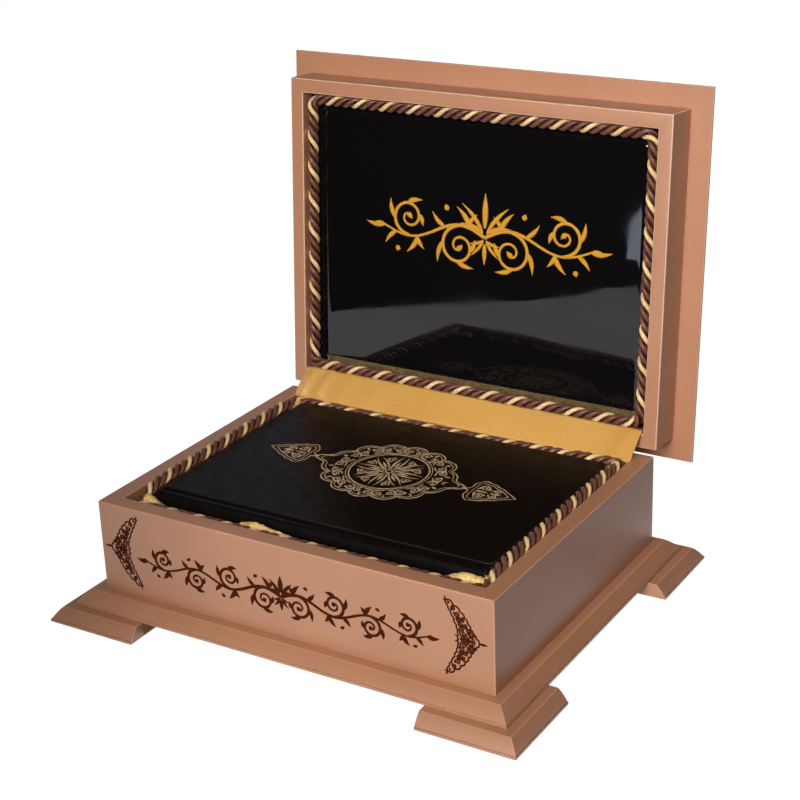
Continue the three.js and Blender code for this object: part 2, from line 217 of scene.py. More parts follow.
def bonded_leather():
    # Bonded leather, dyed black and plated: small pebbled cells under a soft gloss, with a painted highlight along
    # its edges.
    material, tree, surface, place = start("black_bonded_leather", "#0B0807", Roughness=0.32,
                                           Specular_IOR_Level=0.12)
    cell = add(tree, "TexVoronoi", {"Vector": place, "Scale": per(0.9)}, feature="SMOOTH_F1")
    crease = add(tree, "TexNoise", {"Vector": place, "Scale": per(6), "Detail": 4})
    height = add(tree, "Math", {0: crease, 1: 0.5, 2: cell}, operation="MULTIPLY_ADD")
    bump = add(tree, "Bump", {"Height": height, "Strength": 0.35, "Distance": 0.00012})
    rough = add(tree, "MapRange", {0: crease, 1: 0.3, 2: 0.7, 3: 0.30, 4: 0.46})
    colour = add(tree, "Mix", {0: cell, 6: linear("#0F0B0A"), 7: linear("#060404")}, out=2, data_type="RGBA")
    # Painted highlight: the leather's arris faces are painted paler
    arris_highlighted = painted_arris_highlight(tree, colour, 0.5, "#2E2624")
    feed(tree, surface, Base_Color=arris_highlighted, Normal=bump, Roughness=rough)
    return material


def gloss_film():
    # Clear formed film over black velvet: deep black under a mirror-smooth, slightly wavy face.
    material, tree, surface, place = start("clear_film_on_black", "#0C0A0B", Roughness=0.03)
    smear = add(tree, "TexNoise", {"Vector": place, "Scale": per(30), "Detail": 3})
    rough = add(tree, "MapRange", {0: smear, 1: 0.35, 2: 0.75, 3: 0.02, 4: 0.07})
    ripple = add(tree, "TexNoise", {"Vector": place, "Scale": per(70), "Detail": 1})
    bump = add(tree, "Bump", {"Height": ripple, "Strength": 0.25, "Distance": 0.0012})
    feed(tree, surface, Roughness=rough, Normal=bump)
    return material


def silk_velvet():
    # Velvet pile: black from above, with a pale rim of light on its fibres.
    material, tree, surface, place = start("black_velvet", "#060506", Roughness=0.95, Sheen_Weight=0.7,
                                           Sheen_Roughness=0.5)
    pile = add(tree, "TexNoise", {"Vector": place, "Scale": per(0.5), "Detail": 2})
    two_tones(tree, surface, pile, "#030303", "#0D0B0D", pile, 0.5, 0.2)
    return material


def cut_foam():
    # Polyurethane foam, sawn: pale, dull and full of small open cells.
    material, tree, surface, place = start("cut_foam", "#E6E1D5", Roughness=0.95)
    cell = add(tree, "TexVoronoi", {"Vector": place, "Scale": per(0.8)})
    two_tones(tree, surface, cell, "#C9C2B2", "#ECE7DB", cell, 0.6, 0.3)
    return material


def stacked_paper():
    # Cut edges of book paper: cream, with the lines of the leaves, drawn thicker than they are.
    material, tree, surface, place = start("cut_page_edges", "#EADFC3", Roughness=0.8)
    leaves = add(tree, "TexWave", {"Vector": place, "Scale": per(0.55) * WAVE, "Distortion": 0.6,
                                   "Detail": 2}, out="Fac", bands_direction="Z")
    two_tones(tree, surface, leaves, "#CDBE9B", "#F1E8D0", leaves, 0.5, 0.12)
    return material


def brass():
    # Rolled brass, lightly brushed along the leaf and a little dulled.
    material, tree, surface, place = start("rolled_brass", "#B8924C", Metallic=1.0, Roughness=0.3)
    brushed = add(tree, "Mapping", {"Vector": place, "Scale": (0.05, 1, 1)})
    line = add(tree, "TexNoise", {"Vector": brushed, "Scale": per(0.3), "Detail": 2})
    dull = add(tree, "TexNoise", {"Vector": place, "Scale": per(5), "Detail": 3})
    colour = add(tree, "Mix", {0: dull, 6: linear("#9A7637"), 7: linear("#CBA55C")}, out=2, data_type="RGBA")
    rough = add(tree, "MapRange", {0: line, 1: 0.3, 2: 0.7, 3: 0.24, 4: 0.42})
    feed(tree, surface, Base_Color=colour, Roughness=rough)
    return material


def burnt_engraving():
    # Laser engraving filled with brown stain: matt, dark and slightly uneven.
    material, tree, surface, place = start("stained_engraving", "#3E1604", Roughness=0.9,
                                           Specular_IOR_Level=0.1)
    grain = add(tree, "TexNoise", {"Vector": place, "Scale": per(0.8), "Detail": 3})
    colour = add(tree, "Mix", {0: grain, 6: linear("#341002"), 7: linear("#4E2009")}, out=2, data_type="RGBA")
    feed(tree, surface, Base_Color=colour)
    return material


def stitched_gold():
    # Machine satin stitch in gold rayon: slanted threads side by side, drawn coarse enough to show.
    material, tree, surface, place = start("satin_stitched_gold_thread", "#D89C1E", Roughness=0.42,
                                           Specular_IOR_Level=0.2)
    slant = add(tree, "Mapping", {"Vector": place, "Rotation": (0, radians(35), 0)})
    lines = add(tree, "TexWave", {"Vector": slant, "Scale": per(0.8) * WAVE, "Distortion": 0.8,
                                  "Detail": 1}, out="Fac", bands_direction="X")
    two_tones(tree, surface, lines, "#A36A0A", "#DFA01E", lines, 0.5, 0.2)
    return material


def foil_stamping():
    # Hot-stamped gold foil, pressed into leather: antique gold, broken by the grain.
    material, tree, surface, place = start("stamped_gold_foil", "#E6C496", Metallic=0.25, Roughness=0.4)
    wear_and_highlight = add(tree, "TexNoise", {"Vector": place, "Scale": per(3), "Detail": 4})
    share = add(tree, "MapRange", {0: wear_and_highlight, 1: 0.35, 2: 0.65})
    colour = add(tree, "Mix", {0: share, 6: linear("#B98B4E"), 7: linear("#E2CCAE")}, out=2, data_type="RGBA")
    feed(tree, surface, Base_Color=colour)
    return material


LACQUER = copper_lacquer()
# Each cord's first colour is the painted shade deep in its grooves
GOLD_STRAND = rayon_cord("gold_rayon_strand", "#6A360E", "#DDB47C", "#FFF2D8")
BROWN_STRAND = rayon_cord("brown_rayon_strand", "#360C05", "#643520", "#9C6C50")
LINING_SATIN = woven_satin("gathered_gold_satin", "#A87428", "#F4D288", 9)
RIBBON_SATIN = woven_satin("gold_satin_ribbon", "#C48E42", "#D4A258", 90, 0.08)
TAPE_SATIN = woven_satin("dull_gold_tape", "#4E3A1E", "#86704A", 3)
LEATHER = bonded_leather()
FILM = gloss_film()
VELVET = silk_velvet()
FOAM = cut_foam()
PAPER = stacked_paper()
BRASS = brass()
ENGRAVING = burnt_engraving()
STITCHES = stitched_gold()
FOIL = foil_stamping()

# Making pieces
def shown(name, data):
    """A new object of some data, linked to the scene."""
    thing = bpy.data.objects.new(name, data)
    bpy.context.scene.collection.objects.link(thing)
    return thing


def new_piece(name, shape, material, body, nodes=(), place=STAY_PUT):
    """Makes an object of a bmesh or mesh in its place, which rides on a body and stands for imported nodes."""
    mesh = shape
    if isinstance(shape, bmesh.types.BMesh):
        mesh = bpy.data.meshes.new(name)
        shape.to_mesh(mesh)
        shape.free()
    mesh.transform(place)
    piece = shown(name, mesh)
    mesh.materials.clear()
    mesh.materials.append(material)
    if nodes:
        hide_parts(*nodes)
    if body:
        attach(piece, body)
    return piece


def smooth(piece, angle=30):
    """Shades a piece smooth, with flat faces kept flat and edges over the angle kept sharp."""
    piece.data.shade_smooth()
    piece.data.set_sharp_from_angle(angle=radians(angle))
    normals = piece.modifiers.new("flat_faces", "WEIGHTED_NORMAL")
    normals.keep_sharp = True
    return piece


def painted(name, shape, body, node, place=STAY_PUT):
    """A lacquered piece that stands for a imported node."""
    return smooth(new_piece(name, shape, LACQUER, body, [node], place))


def thick_sheet(piece, name, thickness):
    """Shades a sheet smooth and gives it its thickness, inwards from its face."""
    piece.data.shade_smooth()
    gauge = piece.modifiers.new(name, "SOLIDIFY")
    gauge.thickness = thickness * MM


def block(lo, hi):
    """A box between two corners."""
    bm = bmesh.new()
    bmesh.ops.create_cube(bm, size=1)
    bmesh.ops.scale(bm, vec=hi - lo, verts=bm.verts)
    bmesh.ops.translate(bm, vec=(lo + hi) / 2, verts=bm.verts)
    return bm


def face_outwards(bm, side=None):
    """Turns all faces outwards, or the faces of an open sheet towards a side."""
    bmesh.ops.recalc_face_normals(bm, faces=bm.faces)
    if side is not None and sum(face.normal.dot(side) for face in bm.faces) < 0:
        bmesh.ops.reverse_faces(bm, faces=bm.faces)


def flat_grid(columns, rows):
    """A flat square grid a metre wide, to be formed."""
    bm = bmesh.new()
    bmesh.ops.create_grid(bm, x_segments=columns, y_segments=rows, size=0.5)
    return bm


def round_edges(bm, radius, segments=3, sharp=25, arris_highlight=1.0, chosen=lambda edge: True):
    """Rounds the outward edges, as sanding or moulding leaves them, and marks how strongly their faces take the
    painted arris highlight.
    """
    arris = bm.faces.layers.float.get("arris") or bm.faces.layers.float.new("arris")
    bm.normal_update()
    edges = [edge for edge in bm.edges if edge.is_manifold and edge.is_convex
             and edge.calc_face_angle() > radians(sharp) and chosen(edge)]
    made = bmesh.ops.bevel(bm, geom=edges, offset=radius, offset_type="OFFSET", segments=segments, profile=0.5,
                           affect="EDGES", clamp_overlap=True, material=-1)
    for face in made["faces"]:
        face[arris] = arris_highlight


def upright(edge):
    """True for an edge that runs straight up."""
    run = edge.verts[0].co - edge.verts[1].co
    return hypot(run.x, run.y) < 1e-6


# Walls and rails: one rounded ring, cut at the mitres into its four boards
ARRIS = 0.7 * MM
# How strongly the arrises of the walls and of the lid's rails are painted with a pale highlight
BODY_ARRIS_HIGHLIGHT, LID_ARRIS_HIGHLIGHT = 0.4, 1.0
SIDES = {"front": Vector((0, -1, 0)), "back": Vector((0, 1, 0)),
         "left": Vector((-1, 0, 0)), "right": Vector((1, 0, 0))}


def mitred_ring(lo, hi, thickness, arris_highlight):
    bm = block(lo, hi)
    ends = [face for face in bm.faces if abs(face.normal.z) > 0.5]
    bmesh.ops.delete(bm, geom=ends, context="FACES_ONLY")
    bmesh.ops.solidify(bm, geom=bm.faces[:], thickness=thickness)
    face_outwards(bm)
    round_edges(bm, ARRIS, arris_highlight=arris_highlight)
    return bm


def ring_side(ring, lo, hi, outward):
    """The board on one side of a ring, cut at 45 degrees at both ends."""
    bm = ring.copy()
    middle = (lo + hi) / 2
    for sign in (-1, 1):
        along = sign * Vector((-outward.y, outward.x, 0))
        corner = middle + Vector([h * (o + a) for h, o, a in zip((hi - lo) / 2, outward, along)])
        bmesh.ops.bisect_plane(bm, geom=bm.verts[:] + bm.edges[:] + bm.faces[:], plane_co=corner,
                               plane_no=outward - along, clear_inner=True)
    bmesh.ops.holes_fill(bm, edges=[edge for edge in bm.edges if edge.is_boundary], sides=0)
    face_outwards(bm)
    return bm


body_ring = mitred_ring(BODY_LO, BODY_HI, WALL, BODY_ARRIS_HIGHLIGHT)
lid_ring = mitred_ring(LID_LO, LID_HI, RAIL, LID_ARRIS_HIGHLIGHT)
for side, outward in SIDES.items():
    wall, rail = side + "_wall", "lid_" + side + "_rail"
    painted("painted_" + wall, ring_side(body_ring, BODY_LO, BODY_HI, outward), "box", wall)
    painted("painted_" + rail, ring_side(lid_ring, LID_LO, LID_HI, outward), "lid", rail, OPEN)
body_ring.free()
lid_ring.free()

# Routed boards and feet: a fillet, a small step and a slightly bulging slope up to the ledge
FILLET = 2.0 * MM
STEP = 0.6 * MM
BULGE = 0.4 * MM
SLOPE_STEPS = 12
ROUTED_ARRIS = 0.5 * MM
# How strongly the routed arrises are painted with a pale highlight
ROUTED_ARRIS_HIGHLIGHT = 0.35


def moulding(outside, ledge, height):
    """How far the edge stands out at each height."""
    foot, head = Vector((outside - STEP, FILLET)), Vector((ledge, height))
    across = Vector((head.y - foot.y, foot.x - head.x)).normalized()
    slope = [foot.lerp(head, i / SLOPE_STEPS) + across * 4 * BULGE * (i / SLOPE_STEPS) * (1 - i / SLOPE_STEPS)
             for i in range(SLOPE_STEPS + 1)]
    return [Vector((outside, 0)), Vector((outside, FILLET)), *slope]


def routed(profile, bottom, outline):
    """Raises a rectangle up a profile. outline gives its two corners for how far the edge stands out."""
    bm = bmesh.new()
    bmesh.ops.create_grid(bm, x_segments=1, y_segments=1, size=1)
    bm.faces.ensure_lookup_table()
    top = bm.faces[0]
    lo, hi = outline(profile[-1].x)
    middle = (lo + hi) / 2
    for level, (out, height) in enumerate(profile):
        if level:
            below = top
            grown = bmesh.ops.extrude_face_region(bm, geom=[below])["geom"]
            top = next(item for item in grown if isinstance(item, bmesh.types.BMFace))
            if level > 1:
                bmesh.ops.delete(bm, geom=[below], context="FACES_ONLY")
        lo, hi = outline(out)
        for vert in top.verts:
            vert.co = (hi.x if vert.co.x > middle.x else lo.x, hi.y if vert.co.y > middle.y else lo.y,
                       bottom + height)
    face_outwards(bm)
    round_edges(bm, ROUTED_ARRIS, segments=2, sharp=18, arris_highlight=ROUTED_ARRIS_HIGHLIGHT)
    return bm


def board(node_extent, ledge):
    """A board that stands out all round past the body."""
    lo, hi = node_extent
    profile = moulding(hi.x - BODY_HI.x, ledge, hi.z - lo.z)
    def outline(out):
        grow = Vector((out, out, 0))
        return BODY_LO - grow, BODY_HI + grow
    return routed(profile, lo.z, outline)


BOARD_LEDGE = 6.4 * MM
FOOT_LEDGE = 20.7 * MM
painted("moulded_plinth", board(extent("base_board"), BOARD_LEDGE), "box", "base_board")
painted("moulded_lid_board", board(closed_extent("lid_board"), BOARD_LEDGE), "lid", "lid_board", OPEN)

for end, sign_y in {"front": -1, "back": 1}.items():
    for side, sign_x in {"left": -1, "right": 1}.items():
        node = "foot_" + end + "_" + side
        foot_lo, foot_hi = extent(node)
        overhang = max(abs(foot_lo.x), abs(foot_hi.x)) - BODY_HI.x

        def outline(out):
            lo, hi = foot_lo.copy(), foot_hi.copy()
            if sign_x < 0:
                lo.x = BODY_LO.x - out
            else:
                hi.x = BODY_HI.x + out
            if sign_y < 0:
                lo.y = BODY_LO.y - out
            else:
                hi.y = BODY_HI.y + out
            return lo, hi

        profile = moulding(overhang, FOOT_LEDGE, foot_hi.z - foot_lo.z)
        painted("moulded_" + node, routed(profile, foot_lo.z, outline), "box", node)

# Trim cord: three strands laid left-handed, one gold and two brown
CORD_RADIUS = 4.2 * MM
STRAND_RADIUS = 1.68 * MM
LAY_RADIUS = CORD_RADIUS - STRAND_RADIUS
LAY_PITCH = 21.7 * MM
CORD_CORNER = 7 * MM
CORD_INSET = 4.5 * MM
STEPS_PER_TURN = 18
STRAND_SIDES = 20
YARNS = 4
YARN_DEPTH = 0.15
YARN_TURNS = 0.5
GROOVE = 2.7 * MM
GROOVE_WIDTH = 1.1 * MM


def round_loop(half_x, half_y, radius, count, middle_y):
    """Evenly spaced points and directions round a rounded rectangle."""
    straight_x, straight_y = 2 * (half_x - radius), 2 * (half_y - radius)
    quarter = radius * pi / 2
    length = 2 * (straight_x + straight_y) + 4 * quarter
    points = []
    for i in range(count):
        at = length * i / count
        turn = 0
        for straight, centre in ((straight_y, (half_x - radius, half_y - radius)),
                                 (straight_x, (radius - half_x, half_y - radius)),
                                 (straight_y, (radius - half_x, radius - half_y)),
                                 (straight_x, (half_x - radius, radius - half_y))):
            ahead = Vector((cos(turn + pi / 2), sin(turn + pi / 2), 0))
            out = Vector((cos(turn), sin(turn), 0))
            middle = Vector((centre[0], centre[1] + middle_y, 0))
            if at < straight:
                points.append((middle + out * radius - ahead * (straight - at), ahead))
                break
            at -= straight
            if at < quarter:
                angle = turn + at / radius
                out = Vector((cos(angle), sin(angle), 0))
                points.append((middle + out * radius, Vector((-out.y, out.x, 0))))
                break
            at -= quarter
            turn += pi / 2
    return points, length


def strand_loop(bm, path, middle, radius, sides, turns):
    """A closed loop of strand, ribbed by its yarns, with its length and girth as UV in metres, and marked
    with how far each point lies from the groove in the middle of the cord."""
    layer = bm.loops.layers.uv.verify()
    depth = bm.verts.layers.float.new("depth")
    count = len(path)
    rings = []
    along = [0.0]
    for i, point in enumerate(path):
        ahead = (path[(i + 1) % count] - path[i - 1]).normalized()
        side = ahead.cross(Vector((0, 0, 1))).normalized()
        lift = side.cross(ahead)
        ring = []
        for s in range(sides):
            angle = 2 * pi * s / sides
            rib = 1 - YARN_DEPTH * (1 - abs(sin((YARNS * angle + 2 * pi * turns * i / count) / 2)))
            vert = bm.verts.new(point + radius * rib * (side * cos(angle) + lift * sin(angle)))
            # This sets the painted shade deep in the grooves between the strands
            vert[depth] = min(max(((vert.co - middle[i]).length - GROOVE) / GROOVE_WIDTH, 0), 1)
            ring.append(vert)
        rings.append(ring)
        along.append(along[-1] + (path[(i + 1) % count] - point).length)
    girth = 2 * pi * radius / sides
    for i in range(count):
        for s in range(sides):
            corners = ((i, s), (i + 1, s), (i + 1, s + 1), (i, s + 1))
            face = bm.faces.new([rings[a % count][b % sides] for a, b in corners])
            for loop, (a, b) in zip(face.loops, corners):
                loop[layer].uv = (along[a], b * girth)


def trim_cord(name, half_x, half_y, level, body, node, place=STAY_PUT):
    """A cord laid round the inside of a frame. level gives its centre's height for each point."""
    turns = round(round_loop(half_x, half_y, CORD_CORNER, 1, MIDDLE_Y)[1] / LAY_PITCH)
    count = turns * STEPS_PER_TURN
    path = round_loop(half_x, half_y, CORD_CORNER, count, MIDDLE_Y)[0]
    middle = [point + Vector((0, 0, level(point))) for point, ahead in path]
    strands = (("gold", GOLD_STRAND), ("brown_first", BROWN_STRAND), ("brown_second", BROWN_STRAND))
    laid = []
    for number, (word, material) in enumerate(strands):
        points = []
        for i, (point, ahead) in enumerate(path):
            angle = 2 * pi * (turns * i / count + number / 3)
            side = Vector((ahead.y, -ahead.x, 0))
            points.append(middle[i] + LAY_RADIUS * (side * cos(angle) + Vector((0, 0, sin(angle)))))
        bm = bmesh.new()
        strand_loop(bm, points, middle, STRAND_RADIUS, STRAND_SIDES, round(turns * YARN_TURNS))
        face_outwards(bm)
        strand = new_piece(name + "_" + word + "_strand", bm, material, body, [node], place)
        strand.data.shade_smooth()
        laid.append(strand)
    return laid


def eased(share):
    """A smooth step from 0 to 1."""
    share = min(max(share, 0), 1)
    return share * share * (3 - 2 * share)


SIDE_CORD_DROP = 0.2 * MM
FRONT_CORD_DROP = 5.8 * MM
BACK_CORD_DROP = 5.2 * MM
HINGE_CORD_LIFT = 1.4 * MM
LID_CORD_DEPTH = 6.2 * MM
FRONT_SAG_REACH, BACK_SAG_REACH, HINGE_REACH = 30 * MM, 25 * MM, 20 * MM


def box_cord_level(point):
    """The cord sits with its middle at the rim, and sags along the front and behind the book."""
    front, back = MIDDLE_Y - INNER_Y + CORD_INSET, MIDDLE_Y + INNER_Y - CORD_INSET
    from_front = FRONT_CORD_DROP * (1 - eased((point.y - front) / FRONT_SAG_REACH))
    sag = 1 - ((point.x / INNER_X + 0.2) / 1.45) ** 2
    from_back = BACK_CORD_DROP * sag * eased(1 - (back - point.y) / BACK_SAG_REACH)
    return RIM - SIDE_CORD_DROP - from_front - from_back


def lid_cord_level(point):
    """The lid's cord stands a little prouder along the hinges."""
    back = MIDDLE_Y + LID_INNER_Y - CORD_INSET
    return LID_LO.z + LID_CORD_DEPTH - HINGE_CORD_LIFT * eased(1 - (back - point.y) / HINGE_REACH)


box_cord = trim_cord("box_cord", INNER_X - CORD_INSET, INNER_Y - CORD_INSET, box_cord_level, "box", "box_rope")
for strand in box_cord:
    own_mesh(strand)
trim_cord("lid_cord", LID_INNER_X - CORD_INSET, LID_INNER_Y - CORD_INSET, lid_cord_level, "lid", "lid_rope",
          OPEN)

# Foam under the lining and behind the panel
for node, body, place in (("foam_bed", "box", STAY_PUT), ("foam_block", "lid", OPEN)):
    lo, hi = extent(node, place.inverted())
    foam = block(lo, hi)
    round_edges(foam, 2 * MM)
    piece = smooth(new_piece("cut_" + node, foam, FOAM, body, [node], place))

# Gathered satin lining between the walls and the book
cover_lo, cover_hi = extent("book_front_cover")
spine_lo, spine_hi = extent("book_spine")
LINING_STEPS = 620
LINING_ROWS = 18
LINING_LEVEL = 70.5 * MM
LINING_ROLL = 2.6 * MM
LINING_DIP = 19 * MM
GATHER = 1.3 * MM
BOOK_CLEARANCE = 1.2 * MM
LINING_GAP = 0.5 * MM
LINING_CORNER = 6 * MM
OVER = 0.65  # the share of the width that reaches the book, before it turns down
PUCKERS = (  # place, reach along X and along Y, and height in millimetres, of the folds that stand up
    (-25, -107, 19, 5, 8.5), (-43, -106, 9, 5, 5.0), (-121, -104, 8, 9, 8.5), (116, -104, 15, 7, 9.0),
    (128, -95, 5, 9, 6.0), (52, -108, 16, 5, 3.0), (-92, -108, 14, 5, 3.0), (-125, 73, 7, 9, 8.5),
    (118, 73, 11, 7, 8.5),
)
outer_loop = round_loop(INNER_X - LINING_GAP, INNER_Y - LINING_GAP, LINING_CORNER, LINING_STEPS, MIDDLE_Y)[0]
near_book = Vector((cover_hi.x + BOOK_CLEARANCE, spine_lo.y - BOOK_CLEARANCE, cover_hi.y + BOOK_CLEARANCE))
lining = flat_grid(LINING_STEPS, LINING_ROWS)
for vert in lining.verts:
    step = round((vert.co.x + 0.5) * LINING_STEPS) % LINING_STEPS
    across = vert.co.y + 0.5
    outer = outer_loop[step][0]
    inner = Vector((max(-near_book.x, min(near_book.x, outer.x)),
                    max(near_book.y, min(near_book.z, outer.y)), 0))
    gather = (noise.noise(Vector((step * 0.19, across * 1.3, 0.5)))
              + 0.5 * noise.noise(Vector((step * 0.47, 7.0, across * 2))))
    over = min(across / OVER, 1)
    down = max((across - OVER) / 0.35, 0)
    flat = outer.lerp(inner, over)
    crest = sin(pi * min(across * 1.15, 1))
    height = LINING_LEVEL + LINING_ROLL * crest - LINING_DIP * down * down + GATHER * gather * crest
    for x, y, reach_x, reach_y, lift in PUCKERS:
        near = exp(-((flat.x / MM - x) / reach_x) ** 2 - ((flat.y / MM - y) / reach_y) ** 2)
        height += lift * MM * near * (1 + 0.1 * gather) * crest
    towards = (inner - outer).normalized() if (inner - outer).length > 1e-6 else Vector((0, 0, 0))
    vert.co = Vector((flat.x, flat.y, height)) - towards * gather * 0.5 * MM * over
bmesh.ops.remove_doubles(lining, verts=lining.verts, dist=1e-5)
face_outwards(lining)
lining_piece = new_piece("gathered_satin_lining", lining, LINING_SATIN, "box", ["satin_lining"])
thick_sheet(lining_piece, "cloth_thickness", 0.25)

# Satin ribbon that holds the open lid
rail_edge = OPEN @ Vector((0, MIDDLE_Y + LID_INNER_Y, LID_LO.z))
wall_edge = Vector((0, MIDDLE_Y + INNER_Y, RIM))
STAY_HALF = 134 * MM
STAY_COLUMNS = 220
STAY_ROWS = 16
STAY_FOLDS = (  # place, reach and height in millimetres, of the folds across the ribbon
    (-129, 3.2, 2.4), (-115, 4.5, 2.2), (-97, 7, 1.4), (-72, 9, 0.8), (58, 14, 0.8), (122, 6, 1.6),
)
TUCK = 2.6 * MM
STAY_LIFT, STAY_SAG, STAY_BOW, SAG_LENGTH = 0.5 * MM, 0.5 * MM, 0.7 * MM, 45 * MM
stay = flat_grid(STAY_COLUMNS, STAY_ROWS)
run = (rail_edge - wall_edge).normalized()
lift = Vector((0, -run.z, run.y))
for vert in stay.verts:
    along = 2 * STAY_HALF * vert.co.x
    across = vert.co.y + 0.5
    base = wall_edge - run * TUCK + (rail_edge - wall_edge + 2 * run * TUCK) * across
    fold = sum(height * MM * exp(-((along / MM - place - 3 * across) / reach) ** 2)
               for place, reach, height in STAY_FOLDS)
    sag = noise.noise(Vector((along / SAG_LENGTH, across * 1.5, 9.0))) * STAY_SAG
    bow = sin(pi * across) * STAY_BOW
    rise = STAY_LIFT + bow + sag + fold * sin(pi * (0.15 + 0.7 * across))
    vert.co = base + lift * rise + Vector((along, 0, 0))
stay_piece = new_piece("satin_ribbon_stay", stay, RIBBON_SATIN, None, ["satin_stay"])
thick_sheet(stay_piece, "ribbon_thickness", 0.3)
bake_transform(stay_piece)

# The book
book_lo = Vector((cover_lo.x, spine_lo.y, extent("book_back_cover")[0].z))
book_hi = cover_hi.copy()
COVER_CORNER = 6 * MM
COVER_ARRIS = 0.9 * MM
for node in ("book_front_cover", "book_back_cover"):
    lo, hi = extent(node)
    cover = block(lo, hi)
    round_edges(cover, COVER_CORNER, segments=8, chosen=upright)
    round_edges(cover, COVER_ARRIS, segments=3, chosen=lambda edge: not upright(edge))
    smooth(new_piece("leather_" + node, cover, LEATHER, "box", [node]))

JOINT_WIDTH = 7 * MM
SPINE_LEATHER = 1.5 * MM
JOINT_DEPTH = 1.3 * MM
SPINE_ARRIS = 0.6 * MM
spine_middle = (book_lo.z + book_hi.z) / 2
spine_half = (book_hi.z - book_lo.z) / 2
shoulder = spine_hi.y - JOINT_WIDTH + 0.3 * MM
bulge = shoulder - spine_lo.y


def spine_profile():
    """Half of the spine's section from the board down over the joint groove and round the shoulder."""
    points = []
    for i in range(9):
        share = i / 8
        dip = JOINT_DEPTH * sin(pi * share) ** 2
        points.append(Vector((0, spine_hi.y - share * (spine_hi.y - shoulder), spine_half - 0.15 * MM - dip)))
    for i in range(1, 13):
        angle = pi / 2 * (1 - i / 12)
        points.append(Vector((0, shoulder - bulge * cos(angle) ** 0.8, spine_half * sin(angle) ** 0.55)))
    return points


half_section = spine_profile()
section = half_section + [Vector((0, p.y, -p.z)) for p in reversed(half_section[:-1])]
spine = bmesh.new()
line = [spine.verts.new(p + Vector((book_lo.x, 0, spine_middle))) for p in section]
edges = [spine.edges.new(pair) for pair in zip(line, line[1:])]
grown = bmesh.ops.extrude_edge_only(spine, edges=edges)["geom"]
moved = [item for item in grown if isinstance(item, bmesh.types.BMVert)]
bmesh.ops.translate(spine, vec=(book_hi.x - book_lo.x, 0, 0), verts=moved)
face_outwards(spine, Vector((0, -1, 0)))
bmesh.ops.solidify(spine, geom=spine.faces[:], thickness=SPINE_LEATHER)
face_outwards(spine)
round_edges(spine, SPINE_ARRIS, segments=2, sharp=50)
smooth(new_piece("leather_book_spine", spine, LEATHER, "box", ["book_spine"]), angle=50)

FORE_EDGE_HOLLOW, BACK_ROUND = 3.2 * MM, 3.0 * MM
pages_lo, pages_hi = extent("book_pages")
pages = block(pages_lo, pages_hi)
long_edges = [edge for edge in pages.edges if abs(edge.verts[0].co.z - edge.verts[1].co.z) > 1e-6]
bmesh.ops.subdivide_edges(pages, edges=long_edges, cuts=15)
for vert in pages.verts:
    height = (vert.co.z - (pages_lo.z + pages_hi.z) / 2) / ((pages_hi.z - pages_lo.z) / 2)
    if vert.co.y > (pages_lo.y + pages_hi.y) / 2:
        vert.co.y -= FORE_EDGE_HOLLOW * (1 - height ** 2)
    else:
        vert.co.y += BACK_ROUND * height ** 2
smooth(new_piece("sewn_page_block", pages, PAPER, "box", ["book_pages"]), angle=40)

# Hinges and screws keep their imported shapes, with their edges broken
def packed_shape(node):
    """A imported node's own shape, with its corners joined."""
    bm = bmesh.new()
    bm.from_mesh(frame["nodes"][node].data)
    bmesh.ops.remove_doubles(bm, verts=bm.verts, dist=1e-6)
    return bm


HINGE_NODES = [side + "_" + part for side in ("left", "right")
               for part in ("lower_leaf", "upper_leaf", "hinge_pin", "lower_screw_1", "lower_screw_2",
                            "upper_screw_1", "upper_screw_2")]
bodies = frame["record"]["behaviour"]["bodies"]
for node in HINGE_NODES:
    metal = packed_shape(node)
    bmesh.ops.dissolve_limit(metal, angle_limit=radians(1), verts=metal.verts, edges=metal.edges)
    round_edges(metal, 0.12 * MM, segments=2, sharp=40)
    body = "lid" if node in bodies["lid"] else "box"
    smooth(new_piece("brass_" + node, metal, BRASS, body, [node]), angle=35)

for node in ("book_left_headband", "book_right_headband"):
    band = packed_shape(node)
    round_edges(band, 0.3 * MM, segments=2, sharp=40)
    smooth(new_piece("sewn_" + node, band, LINING_SATIN, "box", [node]), angle=35)

# The lid's pad: a film formed over a padded velvet panel
film_lo, film_hi = closed_extent("clear_cover")
velvet_lo, velvet_hi = closed_extent("velvet_panel")
FLANGE = 9.4 * MM
FILM_BACK = 0.8 * MM
SHOULDER_WIDTH = 3.4 * MM
PAD_SHIFT = 2.8 * MM
PAD_CROWN = 1.1 * MM
PANEL_INSET = Vector((0.4, 0.4, 0)) * MM
PANEL_DROP = 0.3 * MM
SHOULDER_HEIGHT = film_hi.z - film_lo.z - FILM_BACK - PAD_CROWN


def pad_height(x, y, half_x, half_y):
    """How far the pad's face stands out from its flange. The pad sits a little to the right."""
    x -= PAD_SHIFT
    gap_x, gap_y = half_x - FLANGE - abs(x), half_y - FLANGE - abs(y)
    inside = min(gap_x, gap_y) if min(gap_x, gap_y) > SHOULDER_WIDTH else (
        SHOULDER_WIDTH - hypot(min(gap_x - SHOULDER_WIDTH, 0), min(gap_y - SHOULDER_WIDTH, 0)))
    share = min(max(inside / SHOULDER_WIDTH, 0), 1)
    rolled = SHOULDER_HEIGHT * sqrt(1 - (1 - share) ** 2)
    crown = PAD_CROWN * max(0, 1 - (x / (half_x - FLANGE)) ** 2) * max(0, 1 - (y / (half_y - FLANGE)) ** 2)
    return rolled + crown * share


def formed_sheet(lo, hi, drop, columns=150, rows=124):
    """A sheet across the pad, its face towards -Z, formed to the pad's shape."""
    bm = flat_grid(columns, rows)
    half_x, half_y = (hi.x - lo.x) / 2, (hi.y - lo.y) / 2
    for vert in bm.verts:
        x, y = 2 * half_x * vert.co.x, 2 * half_y * vert.co.y
        vert.co = (x, y + (lo.y + hi.y) / 2, drop - pad_height(x, y, half_x, half_y))
    face_outwards(bm, Vector((0, 0, -1)))
    return bm


